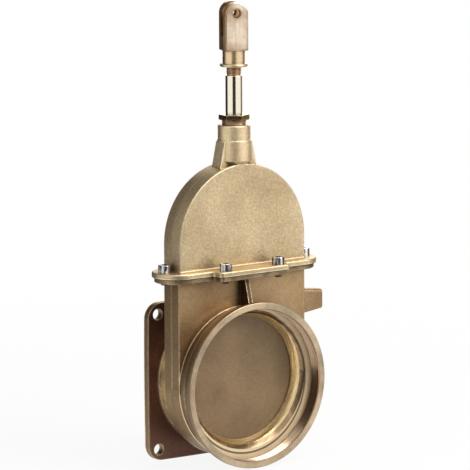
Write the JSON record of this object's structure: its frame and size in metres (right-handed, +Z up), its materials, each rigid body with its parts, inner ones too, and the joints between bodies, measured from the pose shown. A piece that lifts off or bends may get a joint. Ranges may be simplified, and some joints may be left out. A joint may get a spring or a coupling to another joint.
{
  "type": "piston valve",
  "caption": "Cast brass gate-type piston valve with a square bolting flange, a threaded round outlet and a sliding stem that ends in a fork.",
  "frame": {"origin": "centre of the square flange's rear face, on the axis of the outlet socket", "axes": "+Y out of the square flange's rear face, +Z up along the stem, +X to the right seen from the outlet"},
  "size_m": [0.2134, 0.0868, 0.4892],
  "materials": {
    "cast_brass": "blasted casting",
    "cast_brass_dark": "blasted casting",
    "turned_brass": "turned",
    "polished_brass": "polished",
    "machined_brass": "satin machined",
    "bright_steel": "bright zinc",
    "steel": "plain",
    "rubber": "matt",
    "gasket": "matt",
    "packing": "braided"
  },
  "bodies": {
    "valve_body": {"body_casting": "cast_brass_dark", "bonnet_casting": "cast_brass", "joint_gasket": "gasket", "port_seal_front": "rubber", "port_seal_rear": "rubber", "joint_screw_1": "bright_steel", "joint_screw_2": "bright_steel", "joint_screw_3": "bright_steel", "joint_screw_4": "bright_steel", "joint_screw_5": "bright_steel", "joint_screw_6": "bright_steel", "gland_nut": "turned_brass", "packing_ring_1": "packing", "packing_ring_2": "packing", "packing_ring_3": "packing"},
    "gate_and_stem": {"gate_plate": "cast_brass_dark", "stem_rod": "polished_brass", "stem_pin": "steel", "lock_ring": "turned_brass", "clevis": "machined_brass"}
  },
  "joints": [
    {"name": "gate_lift", "type": "slide", "parent": "valve_body", "child": "gate_and_stem", "axis": [0, 0, 1], "range_m": [0, 0.1475]}
  ]
}
